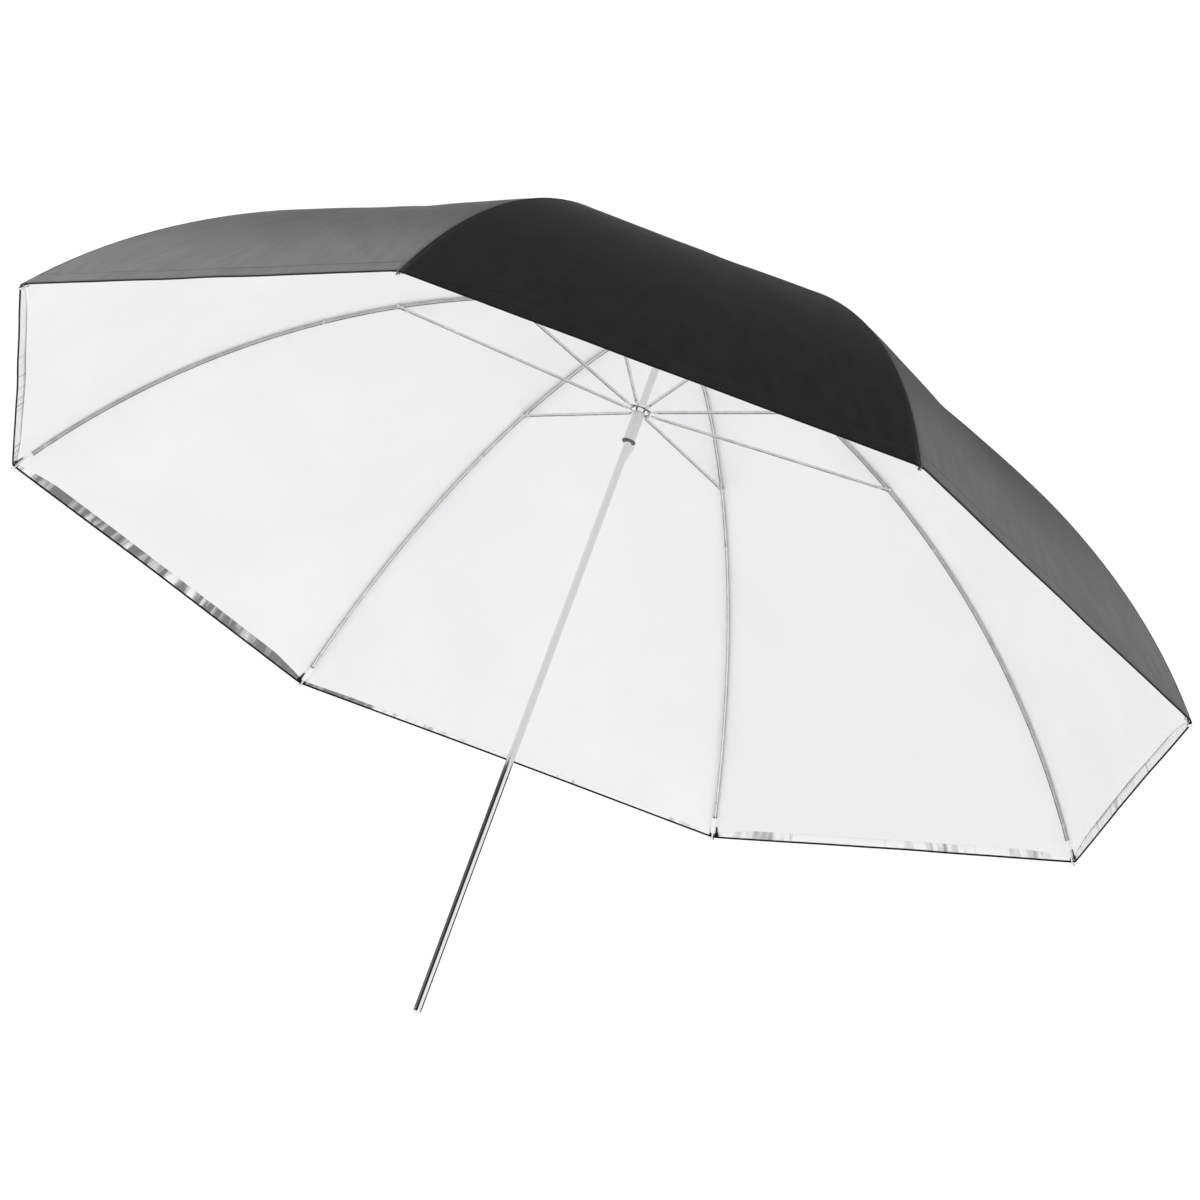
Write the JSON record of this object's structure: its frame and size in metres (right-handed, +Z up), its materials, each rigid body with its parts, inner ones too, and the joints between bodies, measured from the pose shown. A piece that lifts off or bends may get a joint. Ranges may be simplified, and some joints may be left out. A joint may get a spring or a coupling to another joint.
{
  "type": "umbrella reflector",
  "caption": "Folding studio umbrella: white dome canopy with a black, silver-lined cover, on sprung steel ribs, stretchers, a sliding runner and a straight shaft.",
  "frame": {"origin": "centre of the shaft's bottom end, on the shaft's axis", "axes": "+Z up the shaft to the crown of the canopy; +X and +Y each pass midway between two ribs"},
  "size_m": [1.2116, 1.2116, 0.8237],
  "materials": {
    "shaft_steel": "satin chromed steel tube",
    "rib_steel": "zinc-plated spring steel",
    "chrome": "bright nickel",
    "sleeve_metal": "satin",
    "cap_plastic": "moulded",
    "white_cloth": "translucent woven nylon",
    "black_cloth": "coated woven cloth, silver inside"
  },
  "bodies": {
    "shaft": {"shaft": "shaft_steel", "shaft_end_plug": "chrome", "top_notch": "chrome", "notch_wire": "rib_steel", "crown_cap": "cap_plastic", "white_canopy": "white_cloth", "black_cover": "black_cloth"},
    "spring_catch": {"spring_catch": "rib_steel"},
    "runner": {"runner_sleeve": "sleeve_metal", "runner_crown": "chrome", "runner_wire": "rib_steel"},
    "rib_1": {"rib_inner_1": "rib_steel", "joint_rivet_1": "chrome"},
    "rib_end_1": {"rib_outer_1": "rib_steel", "rib_tip_1": "chrome"},
    "stretcher_1": {"stretcher_1": "rib_steel"},
    "rib_2": {"rib_inner_2": "rib_steel", "joint_rivet_2": "chrome"},
    "rib_end_2": {"rib_outer_2": "rib_steel", "rib_tip_2": "chrome"},
    "stretcher_2": {"stretcher_2": "rib_steel"},
    "rib_3": {"rib_inner_3": "rib_steel", "joint_rivet_3": "chrome"},
    "rib_end_3": {"rib_outer_3": "rib_steel", "rib_tip_3": "chrome"},
    "stretcher_3": {"stretcher_3": "rib_steel"},
    "rib_4": {"rib_inner_4": "rib_steel", "joint_rivet_4": "chrome"},
    "rib_end_4": {"rib_outer_4": "rib_steel", "rib_tip_4": "chrome"},
    "stretcher_4": {"stretcher_4": "rib_steel"},
    "rib_5": {"rib_inner_5": "rib_steel", "joint_rivet_5": "chrome"},
    "rib_end_5": {"rib_outer_5": "rib_steel", "rib_tip_5": "chrome"},
    "stretcher_5": {"stretcher_5": "rib_steel"},
    "rib_6": {"rib_inner_6": "rib_steel", "joint_rivet_6": "chrome"},
    "rib_end_6": {"rib_outer_6": "rib_steel", "rib_tip_6": "chrome"},
    "stretcher_6": {"stretcher_6": "rib_steel"},
    "rib_7": {"rib_inner_7": "rib_steel", "joint_rivet_7": "chrome"},
    "rib_end_7": {"rib_outer_7": "rib_steel", "rib_tip_7": "chrome"},
    "stretcher_7": {"stretcher_7": "rib_steel"},
    "rib_8": {"rib_inner_8": "rib_steel", "joint_rivet_8": "chrome"},
    "rib_end_8": {"rib_outer_8": "rib_steel", "rib_tip_8": "chrome"},
    "stretcher_8": {"stretcher_8": "rib_steel"}
  },
  "joints": [
    {"name": "runner_slide", "type": "slide", "parent": "shaft", "child": "runner", "axis": [0, 0, -1], "range_m": [0, 0.46574], "deforming": ["white_canopy", "black_cover"]},
    {"name": "catch_press", "type": "hinge", "parent": "shaft", "child": "spring_catch", "pos_m": [0.0015, 0, 0.614], "axis": [0, -1, 0], "range_deg": [0, 9], "stiffness_Nm_per_rad": 0.4, "springref_deg": -2.86},
    {"name": "rib_hinge_1", "type": "hinge", "parent": "shaft", "child": "rib_1", "pos_m": [0.0085, 0.00352, 0.80095], "axis": [-0.3827, 0.9239, 0], "range_deg": [0, 70.5]},
    {"name": "rib_flex_1", "type": "hinge", "parent": "rib_1", "child": "rib_end_1", "pos_m": [0.27624, 0.11442, 0.74365], "axis": [-0.3827, 0.9239, 0], "range_deg": [-24.19, 0]},
    {"name": "stretcher_hinge_1", "type": "hinge", "parent": "rib_1", "child": "stretcher_1", "pos_m": [0.27624, 0.11442, 0.74365], "axis": [-0.3827, 0.9239, 0], "range_deg": [-140.01, 0]},
    {"name": "rib_hinge_2", "type": "hinge", "parent": "shaft", "child": "rib_2", "pos_m": [0.00352, 0.0085, 0.80095], "axis": [-0.9239, 0.3827, 0], "range_deg": [0, 70.5]},
    {"name": "rib_flex_2", "type": "hinge", "parent": "rib_2", "child": "rib_end_2", "pos_m": [0.11442, 0.27624, 0.74365], "axis": [-0.9239, 0.3827, 0], "range_deg": [-24.19, 0]},
    {"name": "stretcher_hinge_2", "type": "hinge", "parent": "rib_2", "child": "stretcher_2", "pos_m": [0.11442, 0.27624, 0.74365], "axis": [-0.9239, 0.3827, 0], "range_deg": [-140.01, 0]},
    {"name": "rib_hinge_3", "type": "hinge", "parent": "shaft", "child": "rib_3", "pos_m": [-0.00352, 0.0085, 0.80095], "axis": [-0.9239, -0.3827, 0], "range_deg": [0, 70.5]},
    {"name": "rib_flex_3", "type": "hinge", "parent": "rib_3", "child": "rib_end_3", "pos_m": [-0.11442, 0.27624, 0.74365], "axis": [-0.9239, -0.3827, 0], "range_deg": [-24.19, 0]},
    {"name": "stretcher_hinge_3", "type": "hinge", "parent": "rib_3", "child": "stretcher_3", "pos_m": [-0.11442, 0.27624, 0.74365], "axis": [-0.9239, -0.3827, 0], "range_deg": [-140.01, 0]},
    {"name": "rib_hinge_4", "type": "hinge", "parent": "shaft", "child": "rib_4", "pos_m": [-0.0085, 0.00352, 0.80095], "axis": [-0.3827, -0.9239, 0], "range_deg": [0, 70.5]},
    {"name": "rib_flex_4", "type": "hinge", "parent": "rib_4", "child": "rib_end_4", "pos_m": [-0.27624, 0.11442, 0.74365], "axis": [-0.3827, -0.9239, 0], "range_deg": [-24.19, 0]},
    {"name": "stretcher_hinge_4", "type": "hinge", "parent": "rib_4", "child": "stretcher_4", "pos_m": [-0.27624, 0.11442, 0.74365], "axis": [-0.3827, -0.9239, 0], "range_deg": [-140.01, 0]},
    {"name": "rib_hinge_5", "type": "hinge", "parent": "shaft", "child": "rib_5", "pos_m": [-0.0085, -0.00352, 0.80095], "axis": [0.3827, -0.9239, 0], "range_deg": [0, 70.5]},
    {"name": "rib_flex_5", "type": "hinge", "parent": "rib_5", "child": "rib_end_5", "pos_m": [-0.27624, -0.11442, 0.74365], "axis": [0.3827, -0.9239, 0], "range_deg": [-24.19, 0]},
    {"name": "stretcher_hinge_5", "type": "hinge", "parent": "rib_5", "child": "stretcher_5", "pos_m": [-0.27624, -0.11442, 0.74365], "axis": [0.3827, -0.9239, 0], "range_deg": [-140.01, 0]},
    {"name": "rib_hinge_6", "type": "hinge", "parent": "shaft", "child": "rib_6", "pos_m": [-0.00352, -0.0085, 0.80095], "axis": [0.9239, -0.3827, 0], "range_deg": [0, 70.5]},
    {"name": "rib_flex_6", "type": "hinge", "parent": "rib_6", "child": "rib_end_6", "pos_m": [-0.11442, -0.27624, 0.74365], "axis": [0.9239, -0.3827, 0], "range_deg": [-24.19, 0]},
    {"name": "stretcher_hinge_6", "type": "hinge", "parent": "rib_6", "child": "stretcher_6", "pos_m": [-0.11442, -0.27624, 0.74365], "axis": [0.9239, -0.3827, 0], "range_deg": [-140.01, 0]},
    {"name": "rib_hinge_7", "type": "hinge", "parent": "shaft", "child": "rib_7", "pos_m": [0.00352, -0.0085, 0.80095], "axis": [0.9239, 0.3827, 0], "range_deg": [0, 70.5]},
    {"name": "rib_flex_7", "type": "hinge", "parent": "rib_7", "child": "rib_end_7", "pos_m": [0.11442, -0.27624, 0.74365], "axis": [0.9239, 0.3827, 0], "range_deg": [-24.19, 0]},
    {"name": "stretcher_hinge_7", "type": "hinge", "parent": "rib_7", "child": "stretcher_7", "pos_m": [0.11442, -0.27624, 0.74365], "axis": [0.9239, 0.3827, 0], "range_deg": [-140.01, 0]},
    {"name": "rib_hinge_8", "type": "hinge", "parent": "shaft", "child": "rib_8", "pos_m": [0.0085, -0.00352, 0.80095], "axis": [0.3827, 0.9239, 0], "range_deg": [0, 70.5]},
    {"name": "rib_flex_8", "type": "hinge", "parent": "rib_8", "child": "rib_end_8", "pos_m": [0.27624, -0.11442, 0.74365], "axis": [0.3827, 0.9239, 0], "range_deg": [-24.19, 0]},
    {"name": "stretcher_hinge_8", "type": "hinge", "parent": "rib_8", "child": "stretcher_8", "pos_m": [0.27624, -0.11442, 0.74365], "axis": [0.3827, 0.9239, 0], "range_deg": [-140.01, 0]}
  ],
  "couplings": [
    {"joint": "rib_hinge_1", "follows": "runner_slide", "rad_per_m": 2.6414},
    {"joint": "rib_flex_1", "follows": "runner_slide", "rad_per_m": -0.9059},
    {"joint": "stretcher_hinge_1", "follows": "runner_slide", "rad_per_m": -5.246},
    {"joint": "rib_hinge_2", "follows": "runner_slide", "rad_per_m": 2.6414},
    {"joint": "rib_flex_2", "follows": "runner_slide", "rad_per_m": -0.9059},
    {"joint": "stretcher_hinge_2", "follows": "runner_slide", "rad_per_m": -5.246},
    {"joint": "rib_hinge_3", "follows": "runner_slide", "rad_per_m": 2.6414},
    {"joint": "rib_flex_3", "follows": "runner_slide", "rad_per_m": -0.9059},
    {"joint": "stretcher_hinge_3", "follows": "runner_slide", "rad_per_m": -5.246},
    {"joint": "rib_hinge_4", "follows": "runner_slide", "rad_per_m": 2.6414},
    {"joint": "rib_flex_4", "follows": "runner_slide", "rad_per_m": -0.9059},
    {"joint": "stretcher_hinge_4", "follows": "runner_slide", "rad_per_m": -5.246},
    {"joint": "rib_hinge_5", "follows": "runner_slide", "rad_per_m": 2.6414},
    {"joint": "rib_flex_5", "follows": "runner_slide", "rad_per_m": -0.9059},
    {"joint": "stretcher_hinge_5", "follows": "runner_slide", "rad_per_m": -5.246},
    {"joint": "rib_hinge_6", "follows": "runner_slide", "rad_per_m": 2.6414},
    {"joint": "rib_flex_6", "follows": "runner_slide", "rad_per_m": -0.9059},
    {"joint": "stretcher_hinge_6", "follows": "runner_slide", "rad_per_m": -5.246},
    {"joint": "rib_hinge_7", "follows": "runner_slide", "rad_per_m": 2.6414},
    {"joint": "rib_flex_7", "follows": "runner_slide", "rad_per_m": -0.9059},
    {"joint": "stretcher_hinge_7", "follows": "runner_slide", "rad_per_m": -5.246},
    {"joint": "rib_hinge_8", "follows": "runner_slide", "rad_per_m": 2.6414},
    {"joint": "rib_flex_8", "follows": "runner_slide", "rad_per_m": -0.9059},
    {"joint": "stretcher_hinge_8", "follows": "runner_slide", "rad_per_m": -5.246}
  ]
}
